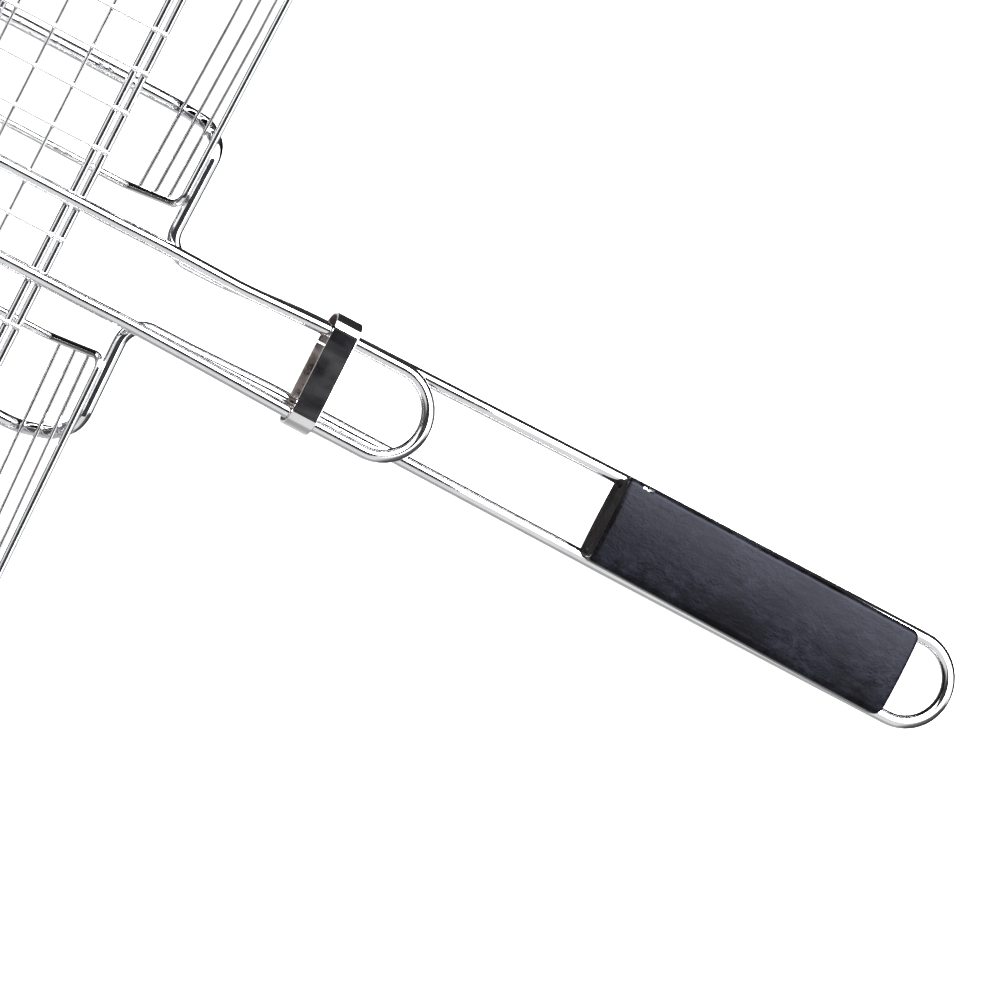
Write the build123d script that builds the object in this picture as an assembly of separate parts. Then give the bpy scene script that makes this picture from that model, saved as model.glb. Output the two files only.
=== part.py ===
from build123d import *
import math
import os

# Hinged wire grill basket: a tray of welded wire with a long looped handle, a flat mesh lid that hooks
# round the tray's back rim, a sheet-metal ring that slides along both handles, and a wooden grip.
# Millimetres. While it is drawn, x = 0 is the middle of the front rim wire, +X runs along the handle,
# +Z is up and z = 0 is the table. The finished pieces are moved so that the origin is at the middle of
# the whole object's base.

# ---- wire sizes ----
THICK = 5.0  # handle wire and lid handle wire
MEDIUM = 3.0  # rim, ribs and lid frame
THIN = 1.5  # mesh and wall wires
WELD = 0.08  # how far a wire sinks into the one it is welded to

# ---- tray ----
TRAY_LENGTH = 233.0  # along X, between rim wire centres
TRAY_HALF_WIDTH = 158.0
RIM_HEIGHT = 33.0
RIM_CORNER = 30.0
WALL_ANGLE = math.radians(64.0)  # wall's slope from the table
FRONT_LEAN = 0.0175  # the front is drawn in at the handle: it leans out this much per mm of y
WALL_WIRE_DEPTHS = (6.8, 14.8, 24.0)  # down the wall from the rim
WALL_WIRE_SAG = 2.0  # the wall wires sink this much deeper from SAG_Y to the inner ribs
SAG_Y = 100.0
BEND = 8.0  # where a rib turns from the base to the wall
INNER_RIB_Y = 30.1
INNER_RIB_BEND = 5.0  # where the rim turns down into the rib
OUTER_RIB_Y = 63.6
OUTER_RIB_BEND = 9.0  # where the handle wire turns down into the rib
OUTER_RIB_TOP_Y = 54.9
OUTER_RIB_KNEE = (12.0, 61.4)  # depth down the wall and y of a second, gentler bend
KNEE_BEND = 18.0
SIDE_RIB_Y = 121.0
CROSS_RIB_PITCH = 32.0
CROSS_RIBS = 3

# ---- tray handle ----
BAR_ANGLE = math.radians(33.0)  # the bar lies this far below level, as seen from the rim
BAR_END_Y = 13.4
BAR_BEND = 9.0
WAIST_X, WAIST_Y = 27.0, 13.5
WAIST_OFFSET = 0.2
SHOULDER_X, SHOULDER_Y = 60.0, 14.4
SHOULDER_OFFSET = 1.95  # past the waist the handle runs this far to the side of the basket's middle
HANDLE_OFFSET = 2.3  # and a little further at the grip
GRIP_WIRE_X, GRIP_WIRE_Y = 200.0, 15.6
HANDLE_TIP_X = 330.9
SLIGHT_BEND = 200.0

# ---- wooden grip ----
GRIP_X = (189.6, 310.6)
GRIP_HALF_WIDTH = 16.8
GRIP_EDGE_HALF_THICKNESS = 10.0
GRIP_HALF_THICKNESS = 11.4
GRIP_TURN = -0.6  # degrees, it sits slightly askew between the rods
GRIP_EDGE_ROUND = 3.0
GRIP_END_ROUND = 1.2
GROOVE_ROOM = 0.03

# ---- lid ----
LID_FRONT = -32.2
MESH_PITCH = 15.6
MESH_CROSS_WIRES = 9
END_WIRE_GAP = 4.0  # between the frame's end and the wire that doubles it
FIRST_CROSS_GAP = 17.6
LID_HALF_WIDTH = 124.0
LID_CORNER = 12.0
LID_WIRE_HEIGHT = RIM_HEIGHT + 0.5  # handle wires, along the mesh
MESH_FIRST_Y = 34.7
MESH_WIRES_PER_SIDE = 6
MESH_OVERHANG = 1.0
LID_WIRE_Y = 15.05
LID_SHIFT = -0.6  # the pair sits this far to one side
LID_LOOP_Y = 16.3
LID_LOOP_SHIFT = -0.5
LID_TIP_X = 115.2
LID_LIFT_X = -18.6  # the handle wires start to climb over the rim
LID_BEND_X = 32.5  # they come down onto the tray handle
LID_SWAY = -0.35  # and sway a little further here
LID_BEND = 30.0
HANDLE_GAP = 0.3  # between lid wire and tray wire in the ring

# ---- hinge: the lid's handle wires curl round the back rim ----
EYE_RADIUS = 4.5
EYE_RUN = 7.0
EYE_END = math.radians(-50.0)
EYE_LIFT_RUN = 12.0

# ---- sliding ring ----
RING_CENTRE_X = 73.2
RING_WIDTH = 10.0
RING_Y = (-20.1, 22.0)  # inside
RING_INSIDE_HEIGHT = 12.8
RING_CORNER = 5.2  # inside
SHEET = 1.0
SEAM = 0.6
SEAM_Y = 11.0

# ---- worked out ----
BAR_REACH = (THICK + MEDIUM) / 2 - WELD
BAR_X = BAR_REACH * math.cos(BAR_ANGLE)
HANDLE_Z = RIM_HEIGHT - BAR_REACH * math.sin(BAR_ANGLE)
OUTER_RIB_OFFSET = BAR_X * math.sin(WALL_ANGLE) + (RIM_HEIGHT - HANDLE_Z) * math.cos(WALL_ANGLE)
WALL_WIRE_OFFSET = OUTER_RIB_OFFSET - (THICK + THIN) / 2 + WELD
RIB_OFFSET = WALL_WIRE_OFFSET + (MEDIUM + THIN) / 2 - WELD
THICK_BASE_Z = THICK / 2
MEDIUM_BASE_Z = THICK - MEDIUM / 2
CROSS_BASE_Z = THICK + MEDIUM / 2 - WELD
LID_LOOP_Z = HANDLE_Z + THICK + HANDLE_GAP
LID_FRAME_Z = LID_WIRE_HEIGHT - (THICK + MEDIUM) / 2 + WELD
LID_BACK = LID_FRONT - 2 * (END_WIRE_GAP + FIRST_CROSS_GAP) - (MESH_CROSS_WIRES - 1) * MESH_PITCH
OVER_RIM_Z = RIM_HEIGHT + EYE_RADIUS
BACK_END = -TRAY_LENGTH - EYE_RADIUS - THICK / 2
TIP_END = HANDLE_TIP_X + THICK / 2
ORIGIN_X = (BACK_END + TIP_END) / 2


def section(point, direction, diameter):
    return Plane(origin=point, z_dir=direction) * Circle(diameter / 2)


def wire_along(path, diameter):
    return sweep(section(path @ 0, path % 0, diameter), path=path)


def bent_wire(points, bends, diameter, close=False):
    return wire_along(FilletPolyline(*points, radius=bends, close=close), diameter)


def straight_wire(start, end, diameter):
    return wire_along(Line(start, end), diameter)


def wall_point(depth, offset=0.0):
    """How far in from the rim and how high a point is, depth down the wall and offset outside it."""
    inset = depth * math.cos(WALL_ANGLE) - offset * math.sin(WALL_ANGLE)
    height = RIM_HEIGHT - depth * math.sin(WALL_ANGLE) - offset * math.cos(WALL_ANGLE)
    return inset, height


def wall_foot(offset, height):
    """The inset at which a wall line, offset outside the wall, comes down to height."""
    top_inset, top_height = wall_point(0.0, offset)
    return top_inset + (top_height - height) / math.tan(WALL_ANGLE)


def under_rim(offset):
    """The point of a wall line that just touches the rim wire from below."""
    return wall_point(math.sqrt((MEDIUM - WELD) ** 2 - offset**2), offset)


def front(y):
    """How far the front wall stands out at y."""
    return FRONT_LEAN * (abs(y) - INNER_RIB_Y)


def mirrored(points):
    return [(x, -y, z) for x, y, z in points]


# ---- tray ----
def rim_wire():
    """One wire: up an inner rib from the back, round the rim, and down the other inner rib."""
    foot = wall_foot(0.0, MEDIUM_BASE_Z)
    end_inset, end_z = under_rim(0.0)
    left = [
        (-TRAY_LENGTH + end_inset, INNER_RIB_Y, end_z),
        (-TRAY_LENGTH + foot, INNER_RIB_Y, MEDIUM_BASE_Z),
        (-foot, INNER_RIB_Y, MEDIUM_BASE_Z),
        (0, INNER_RIB_Y, RIM_HEIGHT),
        (front(TRAY_HALF_WIDTH), TRAY_HALF_WIDTH, RIM_HEIGHT),
        (-TRAY_LENGTH, TRAY_HALF_WIDTH, RIM_HEIGHT),
    ]
    bends = [BEND, BEND, INNER_RIB_BEND, RIM_CORNER, RIM_CORNER]
    return bent_wire(left + mirrored(left)[::-1], bends + bends[::-1], MEDIUM)


def handle_side(side):
    """The handle wire on one side, from its end at the back rim to where its end loop begins."""
    foot = wall_foot(OUTER_RIB_OFFSET, THICK_BASE_Z)
    rib_y = side * OUTER_RIB_Y
    knee_depth, knee_y = OUTER_RIB_KNEE
    knee_inset, knee_z = wall_point(knee_depth, OUTER_RIB_OFFSET)
    return [
        (-TRAY_LENGTH - BAR_X, rib_y, HANDLE_Z),
        (-TRAY_LENGTH + foot, rib_y, THICK_BASE_Z),
        (front(rib_y) - foot, rib_y, THICK_BASE_Z),
        (front(knee_y) - knee_inset, side * knee_y, knee_z),
        (front(OUTER_RIB_TOP_Y) + BAR_X, side * OUTER_RIB_TOP_Y, HANDLE_Z),
        (front(BAR_END_Y) + BAR_X, side * BAR_END_Y, HANDLE_Z),
        (WAIST_X, WAIST_OFFSET + side * WAIST_Y, HANDLE_Z),
        (SHOULDER_X, SHOULDER_OFFSET + side * SHOULDER_Y, HANDLE_Z),
        (GRIP_WIRE_X, HANDLE_OFFSET + side * GRIP_WIRE_Y, HANDLE_Z),
        (HANDLE_TIP_X - GRIP_WIRE_Y, HANDLE_OFFSET + side * GRIP_WIRE_Y, HANDLE_Z),
    ]


def handle_wire(diameter=THICK):
    """The long handle's wire: down one outer rib, round the end loop and back to the other rib."""
    bends = [BEND, BEND, KNEE_BEND, OUTER_RIB_BEND, BAR_BEND, SLIGHT_BEND / 2, SLIGHT_BEND, SLIGHT_BEND]
    left, right = handle_side(1), handle_side(-1)
    tip = (HANDLE_TIP_X, HANDLE_OFFSET, HANDLE_Z)
    with BuildLine() as line:
        FilletPolyline(*left, radius=bends)
        ThreePointArc(left[-1], tip, right[-1])
        FilletPolyline(*right, radius=bends)
    return wire_along(line.wire(), diameter)


def wall_wire(depth):
    """A thin wire from the front inner rib round one side of the tray to the back inner rib."""
    inset, height = wall_point(depth, WALL_WIRE_OFFSET)
    end_inset, end_height = wall_point(depth + WALL_WIRE_SAG, WALL_WIRE_OFFSET)
    end_y = INNER_RIB_Y + MEDIUM / 2 - WELD
    side_y = TRAY_HALF_WIDTH - inset
    points = [
        (front(end_y) - end_inset, end_y, end_height),
        (front(SAG_Y) - inset, SAG_Y, height),
        (front(side_y) - inset, side_y, height),
        (-TRAY_LENGTH + inset, side_y, height),
        (-TRAY_LENGTH + inset, SAG_Y, height),
        (-TRAY_LENGTH + end_inset, end_y, end_height),
    ]
    corner = RIM_CORNER - inset
    return points, [SLIGHT_BEND, corner, corner, SLIGHT_BEND]


def side_rib(y):
    foot = wall_foot(RIB_OFFSET, MEDIUM_BASE_Z)
    inset, height = under_rim(RIB_OFFSET)
    points = [
        (front(y) - inset, y, height),
        (front(y) - foot, y, MEDIUM_BASE_Z),
        (-TRAY_LENGTH + foot, y, MEDIUM_BASE_Z),
        (-TRAY_LENGTH + inset, y, height),
    ]
    return bent_wire(points, [BEND, BEND], MEDIUM)


def cross_rib(x):
    foot = TRAY_HALF_WIDTH - wall_foot(RIB_OFFSET, CROSS_BASE_Z)
    inset, height = under_rim(RIB_OFFSET)
    top = TRAY_HALF_WIDTH - inset
    points = [(x, top, height), (x, foot, CROSS_BASE_Z), (x, -foot, CROSS_BASE_Z), (x, -top, height)]
    return bent_wire(points, [BEND, BEND], MEDIUM)


# ---- wooden grip ----
def grip():
    """A crowned block with rounded edges, grooved along both sides for the handle wire."""
    width, edge, crown = GRIP_HALF_WIDTH, GRIP_EDGE_HALF_THICKNESS, GRIP_HALF_THICKNESS
    with BuildSketch(Plane.YZ) as outline:
        with BuildLine():
            ThreePointArc((-width, edge), (0, crown), (width, edge))
            Line((width, edge), (width, -edge))
            ThreePointArc((width, -edge), (0, -crown), (-width, -edge))
            Line((-width, -edge), (-width, edge))
        make_face()
        fillet(outline.vertices(), GRIP_EDGE_ROUND)
    block = extrude(outline.sketch, amount=GRIP_X[1] - GRIP_X[0])
    block = fillet(block.faces().filter_by(Axis.X).edges(), GRIP_END_ROUND)
    length = GRIP_X[1] - GRIP_X[0]
    place = Pos(GRIP_X[0] + length / 2, HANDLE_OFFSET, HANDLE_Z) * Rot(0, 0, GRIP_TURN)
    block = place * Pos(-length / 2, 0, 0) * block
    return block - handle_wire(THICK + 2 * GROOVE_ROOM)


# ---- lid ----
def lid_frame():
    y = LID_HALF_WIDTH
    z = LID_FRAME_Z
    corners = [(LID_FRONT, y, z), (LID_BACK, y, z), (LID_BACK, -y, z), (LID_FRONT, -y, z)]
    middle = (LID_FRONT, 0, z)
    path = FilletPolyline(*corners, radius=LID_CORNER, close=True)
    return sweep(section(middle, (0, 1, 0), MEDIUM), path=path)


def end_wire(x):
    """Its ends touch the inside of the frame's rounded corners."""
    from_corner_centre = LID_CORNER - END_WIRE_GAP + MEDIUM / 2
    corner_inside = LID_CORNER - MEDIUM / 2
    touch = math.sqrt(corner_inside**2 - from_corner_centre**2)
    reach = LID_HALF_WIDTH - LID_CORNER + touch + WELD
    return straight_wire((x, -reach, LID_FRAME_Z), (x, reach, LID_FRAME_Z), MEDIUM)


def long_wire(y):
    z = LID_FRAME_Z + (MEDIUM + THIN) / 2 - WELD
    return straight_wire((LID_BACK - MESH_OVERHANG, y, z), (LID_FRONT + MESH_OVERHANG, y, z), THIN)


def mesh_cross_wire(x):
    z = LID_FRAME_Z + (MEDIUM - THIN) / 2
    beside_frame = math.sqrt((MEDIUM / 2) ** 2 - (z - LID_FRAME_Z) ** 2)
    reach = LID_HALF_WIDTH - beside_frame + WELD
    return straight_wire((x, -reach, z), (x, reach, z), THIN)


def lid_handle_wire():
    """From one hinge eye along the mesh, over the rim and round the short end loop to the other eye."""

    def side_points(side):
        y = LID_SHIFT + side * LID_WIRE_Y
        loop_y = LID_LOOP_SHIFT + side * LID_LOOP_Y
        return [
            (-TRAY_LENGTH, y, OVER_RIM_Z),
            (-TRAY_LENGTH + EYE_RUN, y, OVER_RIM_Z),
            (-TRAY_LENGTH + EYE_RUN + EYE_LIFT_RUN, y, LID_WIRE_HEIGHT),
            (LID_LIFT_X, y, LID_WIRE_HEIGHT),
            (0, y, OVER_RIM_Z),
            (LID_BEND_X, y + LID_SWAY, LID_LOOP_Z),
            (RING_CENTRE_X, loop_y, LID_LOOP_Z),
            (LID_TIP_X - LID_LOOP_Y, loop_y, LID_LOOP_Z),
        ]

    def eye_point(angle, y):
        return (
            -TRAY_LENGTH - EYE_RADIUS * math.cos(angle),
            y,
            RIM_HEIGHT + EYE_RADIUS * math.sin(angle),
        )

    bends = [BEND, LID_BEND, LID_BEND, LID_BEND, SLIGHT_BEND / 2, SLIGHT_BEND]
    left, right = side_points(1), side_points(-1)
    eye_end = math.radians(180.0) - EYE_END
    with BuildLine() as line:
        for points in (left, right):
            y = points[0][1]
            middle = (math.radians(90.0) - eye_end) / 2
            ThreePointArc(eye_point(-eye_end, y), eye_point(middle, y), points[0])
            FilletPolyline(*points, radius=bends)
        ThreePointArc(left[-1], (LID_TIP_X, LID_LOOP_SHIFT, LID_LOOP_Z), right[-1])
    return wire_along(line.wire(), THICK)


# ---- sliding ring ----
def sliding_ring():
    """A strip of sheet bent into a flat ring round both handles, its ends meeting underneath."""
    middle_y = (RING_Y[0] + RING_Y[1]) / 2
    middle_z = (HANDLE_Z + LID_LOOP_Z) / 2
    inside_width = RING_Y[1] - RING_Y[0]
    plane = Plane.YZ.offset(RING_CENTRE_X - RING_WIDTH / 2)
    with BuildSketch(plane) as band:
        with Locations((middle_y, middle_z)):
            RectangleRounded(inside_width + 2 * SHEET, RING_INSIDE_HEIGHT + 2 * SHEET, RING_CORNER + SHEET)
            RectangleRounded(inside_width, RING_INSIDE_HEIGHT, RING_CORNER, mode=Mode.SUBTRACT)
        with Locations((SEAM_Y, middle_z - (RING_INSIDE_HEIGHT + SHEET) / 2)):
            Rectangle(SEAM, 2 * SHEET, mode=Mode.SUBTRACT)
    return extrude(band.sketch, amount=RING_WIDTH)


def build():
    parts = {}
    parts["rim_wire"] = rim_wire()
    parts["handle_wire"] = handle_wire()
    for level, depth in enumerate(WALL_WIRE_DEPTHS, 1):
        points, bends = wall_wire(depth)
        parts[f"wall_wire_left_{level}"] = bent_wire(points, bends, THIN)
        parts[f"wall_wire_right_{level}"] = bent_wire(mirrored(points), bends, THIN)
    parts["side_rib_left"] = side_rib(SIDE_RIB_Y)
    parts["side_rib_right"] = side_rib(-SIDE_RIB_Y)
    for number in range(CROSS_RIBS):
        x = -TRAY_LENGTH / 2 + (number - (CROSS_RIBS - 1) / 2) * CROSS_RIB_PITCH
        parts[f"cross_rib_{number + 1}"] = cross_rib(x)
    parts["wooden_grip"] = grip()

    parts["lid_handle_wire"] = lid_handle_wire()
    parts["lid_frame_wire"] = lid_frame()
    parts["lid_end_wire_front"] = end_wire(LID_FRONT - END_WIRE_GAP)
    parts["lid_end_wire_back"] = end_wire(LID_BACK + END_WIRE_GAP)
    parts["lid_long_wire_middle"] = long_wire(0.0)
    for number in range(MESH_WIRES_PER_SIDE):
        y = MESH_FIRST_Y + number * MESH_PITCH
        parts[f"lid_long_wire_left_{number + 1}"] = long_wire(y)
        parts[f"lid_long_wire_right_{number + 1}"] = long_wire(-y)
    for number in range(MESH_CROSS_WIRES):
        x = LID_FRONT - END_WIRE_GAP - FIRST_CROSS_GAP - number * MESH_PITCH
        parts[f"lid_cross_wire_{number + 1}"] = mesh_cross_wire(x)

    parts["sliding_ring"] = sliding_ring()
    return parts


os.makedirs("parts", exist_ok=True)
for name, shape in build().items():
    export_step(Pos(-ORIGIN_X, 0, 0) * shape, f"parts/{name}.step")
print(f"rim front at x = {-ORIGIN_X:.2f}, handle wire at z = {HANDLE_Z:.2f}")
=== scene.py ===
"""The look of the hinged wire grill basket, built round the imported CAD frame. Metres throughout."""

import math

import bpy
import bmesh
from mathutils import Matrix, Vector, noise


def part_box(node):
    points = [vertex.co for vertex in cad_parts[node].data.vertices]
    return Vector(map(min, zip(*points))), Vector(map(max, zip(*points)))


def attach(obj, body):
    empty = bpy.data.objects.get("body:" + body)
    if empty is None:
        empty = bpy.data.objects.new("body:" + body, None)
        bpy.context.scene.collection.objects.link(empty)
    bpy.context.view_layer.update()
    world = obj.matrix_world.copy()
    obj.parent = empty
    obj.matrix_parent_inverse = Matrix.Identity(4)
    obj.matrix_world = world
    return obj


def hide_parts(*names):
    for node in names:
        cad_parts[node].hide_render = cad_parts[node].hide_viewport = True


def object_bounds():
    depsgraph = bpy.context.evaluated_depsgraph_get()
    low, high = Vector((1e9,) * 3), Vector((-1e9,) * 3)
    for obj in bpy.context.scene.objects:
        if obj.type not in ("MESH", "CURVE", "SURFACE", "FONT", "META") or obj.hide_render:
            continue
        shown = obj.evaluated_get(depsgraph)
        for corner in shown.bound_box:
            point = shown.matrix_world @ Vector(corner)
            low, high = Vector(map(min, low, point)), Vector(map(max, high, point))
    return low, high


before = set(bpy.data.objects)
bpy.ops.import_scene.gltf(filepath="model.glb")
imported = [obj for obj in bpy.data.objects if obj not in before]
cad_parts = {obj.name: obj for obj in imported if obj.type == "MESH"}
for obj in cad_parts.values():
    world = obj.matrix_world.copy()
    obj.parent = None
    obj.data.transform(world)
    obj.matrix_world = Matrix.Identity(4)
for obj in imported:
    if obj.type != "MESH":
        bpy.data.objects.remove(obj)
cad_low, cad_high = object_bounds()

# ---- places worked out from the frame ----
MM = 0.001
MEDIUM_ROD = 1.5 * MM  # radius of the rim and the lid's frame
HANDLE_REACH = 333.4 * MM  # from the rim's front wire to the hanging loop's end
HANDLE_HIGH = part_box("handle_wire")[1]
RIM_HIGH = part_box("rim_wire")[1]
GRIP_LOW, GRIP_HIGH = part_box("wooden_grip")
RING_LOW, RING_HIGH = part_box("sliding_ring")
RIM_FRONT = HANDLE_HIGH.x - HANDLE_REACH
RIM_LEVEL = RIM_HIGH.z - MEDIUM_ROD

# ---- camera ----
CAMERA_TILT = math.radians(14.0)  # off the vertical, towards the tray's end
CAMERA_SIDE = math.radians(4.2)  # off the vertical, towards the handle's right-hand side
CAMERA_ROLL = math.radians(27.8)  # the handle runs down to the right at this angle
CAMERA_DISTANCE = 12.0
VIEW_WIDTH = 354.6 * MM
VIEW_CENTRE = (RIM_FRONT + 152.45 * MM, -9.1 * MM, RIM_LEVEL)
SENSOR = 36.0

# ---- wires and their weld beads ----
LID_ROD_SPREAD = 15.05 * MM  # the lid's rods' distance from the middle between them
LID_ROD_MIDDLE = -0.6 * MM
MESH_BEAD = (1.05 * MM, 1.05 * MM, 0.62 * MM)  # half sizes along, across and up
FRAME_BEAD = (1.1 * MM, 0.9 * MM, 0.7 * MM)
END_BEAD = (1.35 * MM, 1.1 * MM, 0.55 * MM)
ROD_BEAD = (1.5 * MM, 2.0 * MM, 0.6 * MM)

# ---- wooden grip ----
GRIP_WIDTH = 33.6 * MM
GRIP_LENGTH = 121.0 * MM
GRIP_TURN = math.radians(-0.6)
GRIP_EDGE = 10.0 * MM  # half thickness at the edges
GRIP_CROWN = 11.3 * MM  # half thickness in the middle
GRIP_ROUND = 2.6 * MM  # along the edges
GRIP_END_ROUND = 1.3 * MM
GRIP_FAR_CORNER = 3.2 * MM  # seen from above, the far end's corners
ROD_SPREAD = 15.6 * MM  # rods' distance from the middle between them
ROD_MIDDLE = 2.3 * MM
GROOVE_RADIUS = 2.62 * MM
GRIP_STATIONS = 260
CROWN_STEPS = 14
EDGE_STEPS = 8
LIP_STEPS = 6
GROOVE_STEPS = 10
GRAIN_DEPTH = 0.05 * MM
CHIP_X = 7.6 * MM  # from the grip's basket end
CHIP_LENGTH = 3.8 * MM
CHIP_WIDTH = 2.1 * MM
CHIP_FLOOR = 0.6 * MM  # above the middle of the block, so the rod shows in it

# ---- sheet ring ----
SHEET = 1.0 * MM
RING_CORNER = 6.3 * MM  # outside
RING_BEVEL = 0.22 * MM
RING_CORNER_STEPS = 14
SLIT_Y = 11.0 * MM  # where the band's two ends meet
SLIT_HALF = 0.3 * MM

# ---- light ----
CARD_HEIGHT = 0.6  # a dark card hangs over the basket and is seen only in the reflections
CARD_END = RIM_FRONT + 0.278
CARD_START = RIM_FRONT - 0.75
CARD_HALF_WIDTH = 0.21
FLOOR_SIZE = 2.4
SOFTBOX = 15.0  # how much brighter than the rest the light on the handle's left is


def place_camera():
    """A long lens, almost straight above the handle, turned so that the handle runs down to the right."""
    back = Vector((-math.tan(CAMERA_TILT), -math.tan(CAMERA_SIDE), 1)).normalized()
    handle = Vector((1, 0, 0))
    along = (handle - back * handle.dot(back)).normalized()
    across = back.cross(along)
    right = along * math.cos(CAMERA_ROLL) + across * math.sin(CAMERA_ROLL)
    up = across * math.cos(CAMERA_ROLL) - along * math.sin(CAMERA_ROLL)
    data = bpy.data.cameras.new("camera")
    data.sensor_width = SENSOR
    data.lens = SENSOR * CAMERA_DISTANCE / VIEW_WIDTH
    data.clip_end = 2 * CAMERA_DISTANCE
    camera = bpy.data.objects.new("camera", data)
    turn = Matrix((right, up, back)).transposed().to_4x4()
    camera.matrix_world = Matrix.Translation(Vector(VIEW_CENTRE) + back * CAMERA_DISTANCE) @ turn
    bpy.context.scene.collection.objects.link(camera)
    bpy.context.scene.camera = camera


# ---- shader helpers ----
class Nodes:
    """Adds nodes to one node tree in short form."""

    def __init__(self, tree):
        self.tree = tree

    def add(self, kind, **settings):
        node = self.tree.nodes.new(kind)
        for name, value in settings.items():
            setattr(node, name, value)
        return node

    def join(self, source, target):
        self.tree.links.new(source, target)

    def coordinates(self, stretch=(1, 1, 1)):
        place = self.add("ShaderNodeTexCoord")
        mapping = self.add("ShaderNodeMapping")
        mapping.inputs["Scale"].default_value = stretch
        self.join(place.outputs["Object"], mapping.inputs["Vector"])
        return mapping.outputs["Vector"]

    def noise(self, vector, scale, detail=4.0, roughness=0.5, distortion=0.0):
        node = self.add("ShaderNodeTexNoise")
        node.inputs["Scale"].default_value = scale
        node.inputs["Detail"].default_value = detail
        node.inputs["Roughness"].default_value = roughness
        node.inputs["Distortion"].default_value = distortion
        self.join(vector, node.inputs["Vector"])
        return node.outputs["Fac"]

    def ramp(self, factor, *stops):
        node = self.add("ShaderNodeValToRGB")
        elements = node.color_ramp.elements
        while len(elements) < len(stops):
            elements.new(0.5)
        for element, (position, value) in zip(elements, stops):
            element.position = position
            colour = value if isinstance(value, tuple) else (value,) * 3
            element.color = (*colour, 1)
        self.join(factor, node.inputs["Fac"])
        return node.outputs["Color"]

    def mix(self, factor, first, second, blend="MIX"):
        node = self.add("ShaderNodeMix", data_type="RGBA", blend_type=blend)
        for socket, value in ((node.inputs[0], factor), (node.inputs[6], first), (node.inputs[7], second)):
            if isinstance(value, bpy.types.NodeSocket):
                self.join(value, socket)
            elif isinstance(value, tuple):
                socket.default_value = (*value, 1)
            else:
                socket.default_value = value
        return node.outputs[2]

    def math(self, operation, first, second=None):
        node = self.add("ShaderNodeMath", operation=operation)
        for socket, value in zip(node.inputs, (first, second)):
            if isinstance(value, bpy.types.NodeSocket):
                self.join(value, socket)
            elif value is not None:
                socket.default_value = value
        return node.outputs[0]

    def bump(self, height, strength, distance, after=None):
        node = self.add("ShaderNodeBump")
        node.inputs["Strength"].default_value = strength
        node.inputs["Distance"].default_value = distance
        self.join(height, node.inputs["Height"])
        if after is not None:
            self.join(after, node.inputs["Normal"])
        return node.outputs["Normal"]


def new_material(name):
    material = bpy.data.materials.new(name)
    material.use_nodes = True
    shader = material.node_tree.nodes["Principled BSDF"]
    return material, Nodes(material.node_tree), shader


# ---- materials ----
def chrome_wire():
    """Bright chrome over drawn wire: faint cloudiness, tiny pits and slightly varying gloss."""
    material, nodes, shader = new_material("chrome_wire")
    shader.inputs["Metallic"].default_value = 1.0
    place = nodes.coordinates()
    cloud = nodes.noise(place, 90, 5, 0.6)
    specks = nodes.noise(place, 1400, 2, 0.5)
    waves = nodes.noise(place, 160, 3, 0.5)
    colour = nodes.ramp(cloud, (0.3, (0.84, 0.84, 0.86)), (0.7, (0.92, 0.92, 0.93)))
    pits = nodes.ramp(specks, (0.2, 0.7), (0.3, 1.0))
    nodes.join(nodes.mix(0.3, colour, pits, "MULTIPLY"), shader.inputs["Base Color"])
    nodes.join(nodes.ramp(cloud, (0.3, 0.025), (0.75, 0.06)), shader.inputs["Roughness"])
    nodes.join(nodes.bump(waves, 0.025, 0.0006), shader.inputs["Normal"])
    return material


def chrome_sheet():
    """Bright chrome on rolled sheet: soft smudges, a warm tint and hairline scratches round the band."""
    material, nodes, shader = new_material("chrome_sheet")
    shader.inputs["Metallic"].default_value = 1.0
    place = nodes.coordinates()
    along_band = nodes.coordinates((1, 0.04, 0.04))
    smudge = nodes.noise(place, 75, 3, 0.5, 0.4)
    lines = nodes.noise(along_band, 2600, 3, 0.6)
    colour = nodes.ramp(smudge, (0.3, (0.80, 0.78, 0.78)), (0.7, (0.93, 0.92, 0.93)))
    hairs = nodes.ramp(lines, (0.30, 0.8), (0.42, 1.0))
    nodes.join(nodes.mix(0.4, colour, hairs, "MULTIPLY"), shader.inputs["Base Color"])
    nodes.join(nodes.ramp(smudge, (0.44, 0.02), (0.70, 0.065)), shader.inputs["Roughness"])
    dents = nodes.noise(place, 120, 2, 0.5)
    nodes.join(nodes.bump(dents, 0.012, 0.0009), shader.inputs["Normal"])
    return material


def inner_sheet():
    """The ring's inside: the same sheet, dulled, with painted shade that makes it much darker and faintly
    brown.
    """
    material, nodes, shader = new_material("inner_sheet_painted_shade")
    shader.inputs["Metallic"].default_value = 1.0
    stain = nodes.noise(nodes.coordinates(), 150, 5, 0.6)
    # painted shade: the inside's colour is set far darker and browner than the outside sheet's; the noise
    # only breaks it into blotches
    colour = nodes.ramp(stain, (0.35, (0.10, 0.08, 0.075)), (0.68, (0.42, 0.37, 0.36)))
    nodes.join(colour, shader.inputs["Base Color"])
    nodes.join(nodes.ramp(stain, (0.3, 0.2), (0.7, 0.4)), shader.inputs["Roughness"])
    nodes.join(nodes.bump(stain, 0.2, 0.0006), shader.inputs["Normal"])
    return material


def weld_metal():
    """Plated weld beads: duller than the wire, with a faint heat tint."""
    material, nodes, shader = new_material("weld_metal")
    shader.inputs["Metallic"].default_value = 1.0
    place = nodes.coordinates()
    tint = nodes.noise(place, 300, 3, 0.6)
    colour = nodes.ramp(tint, (0.35, (0.46, 0.43, 0.42)), (0.7, (0.74, 0.73, 0.74)))
    nodes.join(colour, shader.inputs["Base Color"])
    nodes.join(nodes.ramp(tint, (0.3, 0.16), (0.7, 0.34)), shader.inputs["Roughness"])
    nodes.join(nodes.bump(nodes.noise(place, 1500, 3), 0.4, 0.0002), shader.inputs["Normal"])
    return material


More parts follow.
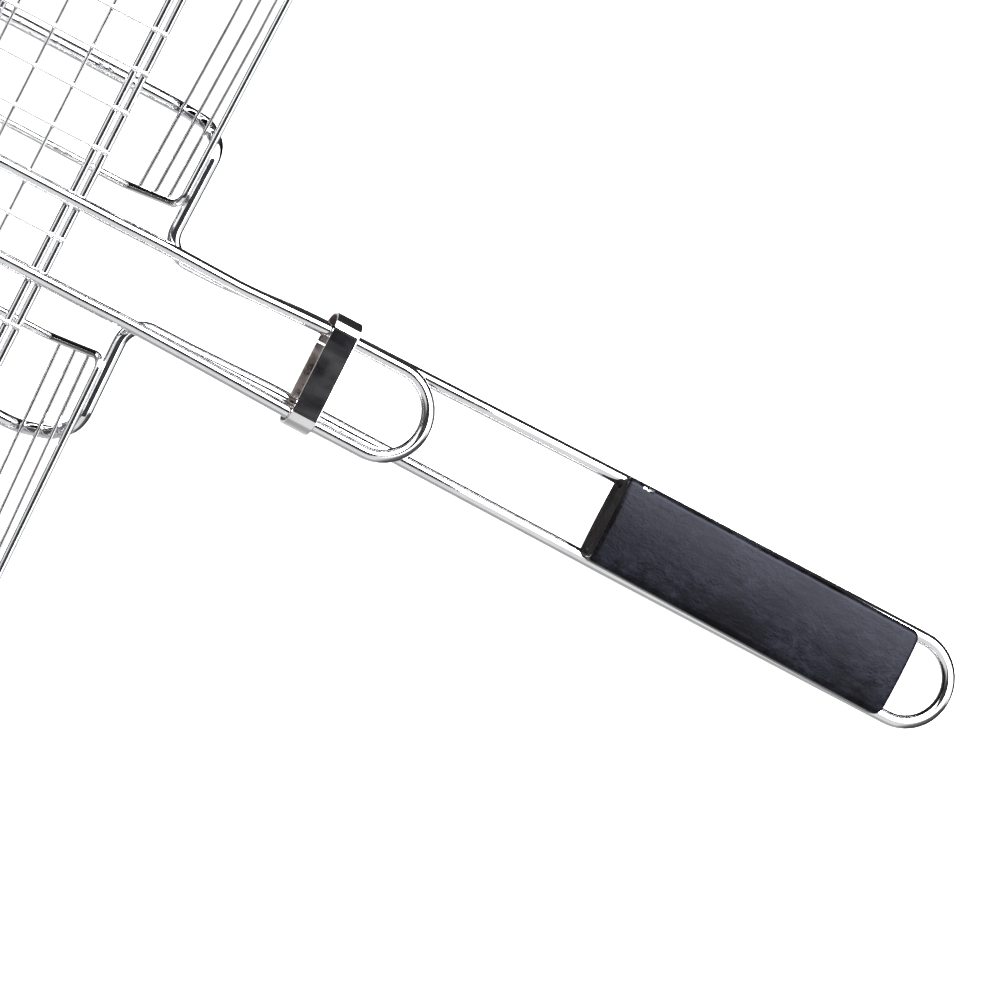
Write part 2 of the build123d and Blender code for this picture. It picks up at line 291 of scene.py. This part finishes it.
def dark_wood():
    """Black-stained wood, rubbed to a bluish grey bloom, with fine grain and pores along the block."""
    material, nodes, shader = new_material("dark_wood")
    grain = nodes.coordinates((0.12, 1, 1))
    place = nodes.coordinates()
    fibres = nodes.noise(grain, 800, 6, 0.65, 0.6)
    bands = nodes.noise(grain, 170, 4, 0.55, 0.8)
    cloud = nodes.noise(place, 55, 5, 0.62)
    mottle = nodes.noise(nodes.coordinates((0.6, 1, 1)), 330, 6, 0.72, 0.5)
    stain = nodes.ramp(bands, (0.32, (0.0006, 0.0005, 0.0006)), (0.72, (0.0018, 0.0016, 0.0020)))
    bloom = nodes.ramp(cloud, (0.36, 0.0), (0.68, 1.0))
    patches = nodes.math("MULTIPLY", bloom, nodes.ramp(mottle, (0.40, 0.1), (0.62, 1.0)))
    worn = nodes.mix(patches, stain, (0.0095, 0.0102, 0.0150))
    pores = nodes.ramp(fibres, (0.30, 0.25), (0.44, 1.0))
    nodes.join(nodes.mix(0.8, worn, pores, "MULTIPLY"), shader.inputs["Base Color"])
    shader.inputs["Specular IOR Level"].default_value = 0.13
    shader.inputs["Specular Tint"].default_value = (0.76, 0.79, 1.0, 1)
    nodes.join(nodes.ramp(mottle, (0.34, 0.13), (0.68, 0.29)), shader.inputs["Roughness"])
    hatch = nodes.noise(nodes.coordinates((0.8, 1, 1)), 1200, 3, 0.6)
    scuffs = nodes.math("MULTIPLY", hatch, bloom)
    fine = nodes.bump(fibres, 0.05, 0.0003)
    scuffed = nodes.bump(scuffs, 0.45, 0.0003, fine)
    nodes.join(nodes.bump(mottle, 0.16, 0.0007, scuffed), shader.inputs["Normal"])
    return material


def end_grain():
    """The block's sawn ends: matt, almost black, with open pores."""
    material, nodes, shader = new_material("dark_end_grain")
    place = nodes.coordinates()
    pores = nodes.noise(place, 1500, 4, 0.7)
    rings = nodes.noise(nodes.coordinates((1, 0.25, 1)), 260, 3, 0.5)
    tone = nodes.ramp(rings, (0.3, (0.004, 0.0035, 0.0035)), (0.7, (0.012, 0.010, 0.010)))
    nodes.join(nodes.mix(0.8, tone, nodes.ramp(pores, (0.35, 0.2), (0.5, 1.0)), "MULTIPLY"),
               shader.inputs["Base Color"])
    shader.inputs["Specular IOR Level"].default_value = 0.05
    nodes.join(nodes.ramp(pores, (0.3, 0.8), (0.7, 0.95)), shader.inputs["Roughness"])
    nodes.join(nodes.bump(pores, 0.7, 0.0004), shader.inputs["Normal"])
    return material


def pale_floor():
    """The studio's white floor, lit evenly."""
    material, _, shader = new_material("pale_floor")
    shader.inputs["Base Color"].default_value = (0.9, 0.9, 0.9, 1)
    shader.inputs["Roughness"].default_value = 0.9
    shader.inputs["Specular IOR Level"].default_value = 0.0
    shader.inputs["Emission Color"].default_value = (1, 1, 1, 1)
    shader.inputs["Emission Strength"].default_value = 0.75
    return material


def black_card():
    """A dark card with soft patches, which the chrome mirrors."""
    material, nodes, shader = new_material("black_card")
    shader.inputs["Base Color"].default_value = (0.004, 0.004, 0.005, 1)
    shader.inputs["Roughness"].default_value = 1.0
    shader.inputs["Specular IOR Level"].default_value = 0.0
    shader.inputs["Emission Strength"].default_value = 1.0
    tone = nodes.ramp(nodes.noise(nodes.coordinates(), 38, 3), (0.42, 0.003), (0.64, 0.07))
    nodes.join(tone, shader.inputs["Emission Color"])
    return material


# ---- new pieces ----
def mesh_object(name, bm, material):
    """Turns a finished bmesh into an object with one material."""
    bmesh.ops.recalc_face_normals(bm, faces=bm.faces)
    data = bpy.data.meshes.new(name)
    bm.to_mesh(data)
    bm.free()
    data.materials.append(material)
    obj = bpy.data.objects.new(name, data)
    bpy.context.scene.collection.objects.link(obj)
    return obj


def shade_smooth(obj, angle=math.radians(40)):
    obj.data.shade_smooth()
    obj.data.set_sharp_from_angle(angle=angle)


def middle(name):
    """The middle of a CAD node's box."""
    low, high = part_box(name)
    return (low + high) / 2


def bead(bm, place, radii, seed):
    """One weld bead: a small flattened, slightly uneven lump."""
    made = bmesh.ops.create_icosphere(bm, subdivisions=2, radius=1.0)
    for vert in made["verts"]:
        swell = 1 + 0.16 * noise.noise(vert.co * 1.6 + Vector((seed, 2.0 * seed, 0)))
        vert.co = place + Vector([c * r * swell for c, r in zip(vert.co, radii)])


def lid_beads(bm):
    """Where each thin cross wire meets the long wires and the frame, and where the rods cross the mesh."""
    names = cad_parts
    long_wires = [n for n in names if n.startswith("lid_long_wire")]
    cross_wires = [n for n in names if n.startswith("lid_cross_wire")]
    end_wires = [n for n in names if n.startswith("lid_end_wire")]
    frame_low, frame_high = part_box("lid_frame_wire")
    count = 0
    for cross in cross_wires:
        x, _, z = middle(cross)
        for long_name in long_wires:
            y, z_long = middle(long_name)[1:]
            bead(bm, Vector((x, y, (z + z_long) / 2)), MESH_BEAD, count)
            count += 1
        for y in (frame_low.y + 2 * MEDIUM_ROD, frame_high.y - 2 * MEDIUM_ROD):
            bead(bm, Vector((x, y, z)), FRAME_BEAD, count)
            count += 1
    ends = [middle(n).x for n in end_wires] + [frame_low.x + MEDIUM_ROD, frame_high.x - MEDIUM_ROD]
    z_frame = (frame_low.z + frame_high.z) / 2
    for x in ends:
        for long_name in long_wires:
            y, z_long = middle(long_name)[1:]
            bead(bm, Vector((x, y, z_frame + MEDIUM_ROD)), END_BEAD, count)
            count += 1
    for x in ends + [middle(n).x for n in cross_wires]:
        for y in (LID_ROD_MIDDLE - LID_ROD_SPREAD, LID_ROD_MIDDLE + LID_ROD_SPREAD):
            bead(bm, Vector((x, y, z_frame + MEDIUM_ROD)), ROD_BEAD, count)
            count += 1


def weld_pieces(material):
    """All of the lid's weld beads, as one piece."""
    bm = bmesh.new()
    lid_beads(bm)
    lid = mesh_object("lid_weld_beads", bm, material)
    shade_smooth(lid)
    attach(lid, "lid")


def rounded_corner(centre, radius, start, steps):
    points = []
    for i in range(steps + 1):
        angle = start + math.radians(90) * i / steps
        points.append((centre[0] + radius * math.cos(angle), centre[1] + radius * math.sin(angle)))
    return points


def grip_outline(shift):
    """The block's section as (y, z) points about its own middle; shift is the rods' place sideways in it."""
    half = GRIP_WIDTH / 2
    drop = GRIP_CROWN - GRIP_EDGE
    radius = (half**2 + drop**2) / (2 * drop)

    def crown(y):
        return GRIP_CROWN - radius + math.sqrt(radius**2 - y**2)

    quarter = []
    flat = half - GRIP_ROUND
    for i in range(CROWN_STEPS + 1):
        y = flat * i / CROWN_STEPS
        quarter.append((y, crown(y)))
    corner_z = crown(flat) - GRIP_ROUND
    for i in range(1, EDGE_STEPS + 1):
        angle = math.radians(90) * (1 - i / EDGE_STEPS)
        quarter.append((flat + GRIP_ROUND * math.cos(angle), corner_z + GRIP_ROUND * math.sin(angle)))

    def side(sign):
        """From the middle of the top round one edge to the middle of the bottom."""
        rod = ROD_SPREAD + sign * shift
        lip = math.sqrt(max(GROOVE_RADIUS**2 - (half - rod) ** 2, 0))
        top = [(sign * y, z) for y, z in quarter]
        top += [(sign * half, corner_z + (lip - corner_z) * i / LIP_STEPS) for i in range(1, LIP_STEPS)]
        opening = math.atan2(lip, half - rod)
        groove = []
        for i in range(GROOVE_STEPS + 1):
            angle = opening + (math.pi - opening) * i / GROOVE_STEPS
            y = rod + GROOVE_RADIUS * math.cos(angle)
            groove.append((sign * y, GROOVE_RADIUS * math.sin(angle)))
        upper = top + groove
        lower = [(y, -z) for y, z in upper[:-1]]
        return upper + lower[::-1]

    right = side(-1)
    left = side(1)
    return left[:-1] + right[::-1][:-1]


def round_off(from_end, radius):
    """How far a rounded end is drawn in, this far from it."""
    if from_end >= radius:
        return 0.0
    return radius - math.sqrt(radius**2 - (radius - from_end) ** 2)


def grip_piece(material, end_material):
    """The wooden block: crowned, with worn edges, grain furrows and a chip in one groove's lip."""
    block_middle = (GRIP_LOW + GRIP_HIGH) / 2
    rod_middle = ROD_MIDDLE - block_middle.y
    turn = Matrix.Rotation(GRIP_TURN, 3, "Z")
    bm = bmesh.new()
    rings = []
    for i in range(GRIP_STATIONS + 1):
        x = GRIP_LENGTH * i / GRIP_STATIONS
        inset = round_off(min(x, GRIP_LENGTH - x), GRIP_END_ROUND)
        side_inset = max(inset, round_off(GRIP_LENGTH - x, GRIP_FAR_CORNER))
        shift = rod_middle - (x - GRIP_LENGTH / 2) * math.tan(GRIP_TURN)
        ring = []
        for y, z in grip_outline(shift):
            scale = 1 - side_inset / (GRIP_WIDTH / 2), 1 - inset / GRIP_CROWN
            place = Vector((x, y * scale[0], z * scale[1]))
            place = carve(place)
            local = place - Vector((GRIP_LENGTH / 2, 0, 0))
            ring.append(bm.verts.new(turn @ local + block_middle))
        rings.append(ring)
    for first, second in zip(rings, rings[1:]):
        count = len(first)
        for j in range(count):
            k = (j + 1) % count
            bm.faces.new((first[j], first[k], second[k], second[j]))
    for ring in (rings[0], rings[-1]):
        bm.faces.new(ring).material_index = 1
    grip = mesh_object("grip_wood", bm, material)
    grip.data.materials.append(end_material)
    shade_smooth(grip, math.radians(50))
    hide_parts("wooden_grip")
    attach(grip, "tray")


def carve(place):
    """Grain furrows pressed into the wood and the chip in the groove's upper lip near the basket end."""
    grain = noise.fractal(Vector((place.x * 60, place.y * 900, place.z * 900)), 1.0, 2.0, 3)
    furrow = GRAIN_DEPTH * max(0.0, min(1.0, 0.5 + grain))
    inward = Vector((0, -place.y, -place.z))
    if inward.length > 0:
        place = place + inward.normalized() * furrow
    ragged = 0.35 * noise.noise(place * 700)
    along = abs(place.x - CHIP_X) / (CHIP_LENGTH / 2) + ragged
    across = (GRIP_WIDTH / 2 - place.y) / CHIP_WIDTH + ragged
    if place.z > CHIP_FLOOR and along < 1 and across < 1:
        wall = min(1.0, 4 * (1 - along), 4 * (1 - across))
        place.z += (CHIP_FLOOR - place.z) * wall
    return place


def ring_corners():
    """The middles (y, z) of the band's four corner arcs, and where each arc starts in degrees."""
    y0, y1 = RING_LOW.y + RING_CORNER, RING_HIGH.y - RING_CORNER
    z0, z1 = RING_LOW.z + RING_CORNER, RING_HIGH.z - RING_CORNER
    return [(y1, z1, 0), (y0, z1, 90), (y0, z0, 180), (y1, z0, 270)]


def ring_piece(material, inner_material):
    """A bent strip with softly rolled edges, its two ends meeting in a slit underneath."""
    corners = ring_corners()
    width = RING_HIGH.x - RING_LOW.x
    centre = (RING_LOW.x + RING_HIGH.x) / 2

    def line(depth):
        """The band's line this deep under its outside, from one end at the slit round to the other."""
        points = []
        for y, z, start in corners:
            points += rounded_corner((y, z), RING_CORNER - depth, math.radians(start), RING_CORNER_STEPS)
        z_low = RING_LOW.z + depth
        last_corner = len(points) - (RING_CORNER_STEPS + 1)
        round_trip = points[last_corner:] + points[:last_corner]
        return [(SLIT_Y + SLIT_HALF, z_low)] + round_trip + [(SLIT_Y - SLIT_HALF, z_low)]

    half = width / 2
    edge = half - RING_BEVEL
    deep = SHEET - RING_BEVEL
    soft = 0.3 * RING_BEVEL
    quarter = [(edge - RING_BEVEL, 0), (edge, 0), (half - soft, soft), (half, RING_BEVEL),
               (half, deep), (half - soft, SHEET - soft), (edge, SHEET), (edge - RING_BEVEL, SHEET)]
    section = quarter + [(-x, depth) for x, depth in quarter[::-1]]
    bm = bmesh.new()
    lines = []
    for x, depth in section:
        lines.append([bm.verts.new((centre + x, y, z)) for y, z in line(depth)])
    for i in range(len(lines)):
        first, second = lines[i], lines[(i + 1) % len(lines)]
        # the inside faces take the second material, the sheet with painted shade
        inside = min(section[i][1], section[(i + 1) % len(section)][1]) > deep
        for a, b, c, d in zip(first, first[1:], second[1:], second):
            bm.faces.new((a, b, c, d)).material_index = int(inside)
    bm.faces.new([row[0] for row in lines])
    bm.faces.new([row[-1] for row in lines])
    ring = mesh_object("ring_band", bm, material)
    ring.data.materials.append(inner_material)
    shade_smooth(ring)
    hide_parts("sliding_ring")
    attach(ring, "ring")


def dress():
    """Gives the wires their chrome and adds the grip, the ring and the weld beads."""
    chrome = chrome_wire()
    for name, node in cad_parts.items():
        node.data.materials.clear()
        node.data.materials.append(chrome)
    grip_piece(dark_wood(), end_grain())
    ring_piece(chrome_sheet(), inner_sheet())
    weld_pieces(weld_metal())


# ---- light and floor ----
def flat_stage(name, low, high, z, material):
    """A level rectangle of the studio, not of the object."""
    bm = bmesh.new()
    corners = [(low[0], low[1]), (high[0], low[1]), (high[0], high[1]), (low[0], high[1])]
    bm.faces.new([bm.verts.new((x, y, z)) for x, y in corners])
    obj = mesh_object(name, bm, material)
    return obj


def make_stage():
    """The floor, and the dark card that only reflections see."""
    centre = (cad_low + cad_high) / 2
    half = FLOOR_SIZE / 2
    floor = flat_stage("floor", (centre.x - half, -half), (centre.x + half, half), 0, pale_floor())
    floor.visible_glossy = False
    card_low = (CARD_START, -CARD_HALF_WIDTH)
    card_high = (CARD_END, CARD_HALF_WIDTH)
    card = flat_stage("card", card_low, card_high, CARD_HEIGHT, black_card())
    card.visible_camera = False
    card.visible_shadow = False
    card.visible_diffuse = False


def make_world():
    """Soft light: bright to the handle's left, paler to its right, with a dark horizon on the left."""
    world = bpy.data.worlds.new("studio")
    bpy.context.scene.world = world
    world.use_nodes = True
    nodes = Nodes(world.node_tree)
    background = world.node_tree.nodes["Background"]
    place = nodes.add("ShaderNodeTexCoord")
    split = nodes.add("ShaderNodeSeparateXYZ")
    nodes.join(place.outputs["Generated"], split.inputs[0])
    turn = nodes.math("ARCTAN2", split.outputs["Y"], split.outputs["Z"])
    share = nodes.math("MULTIPLY_ADD", turn, 0.5 / math.pi)
    share.node.inputs[2].default_value = 0.5

    def at(degrees):
        return (degrees + 180) / 360

    light = nodes.ramp(
        share,
        (at(-180), 0.8),
        (at(-140), 0.6),
        (at(-110), 0.4),
        (at(-84), 0.4),
        (at(-70), 0.78),
        (at(-10), 0.78),
        (at(10), 1.0),
        (at(61), 1.0),
        (at(67), 0.03),
        (at(160), 0.03),
        (at(168), 0.8),
        (at(180), 0.8),
    )
    strength = nodes.ramp(share, (at(-10), 1 / SOFTBOX), (at(32), 1.0), (at(57), 1.0), (at(63), 1 / SOFTBOX))
    lengthways = nodes.math("ABSOLUTE", split.outputs["X"])
    sides = nodes.ramp(lengthways, (0.46, 1.0), (0.64, 0.22), (0.95, 0.10))
    light = nodes.mix(1.0, light, sides, "MULTIPLY")
    glow = nodes.math("MULTIPLY", strength, SOFTBOX)
    path = nodes.add("ShaderNodeLightPath")
    seen = nodes.mix(path.outputs["Is Camera Ray"], light, (1, 1, 1))
    power = nodes.math("MAXIMUM", glow, path.outputs["Is Camera Ray"])
    nodes.join(seen, background.inputs["Color"])
    nodes.join(power, background.inputs["Strength"])


place_camera()
dress()
make_stage()
make_world()
bpy.context.scene.view_settings.view_transform = "Standard"
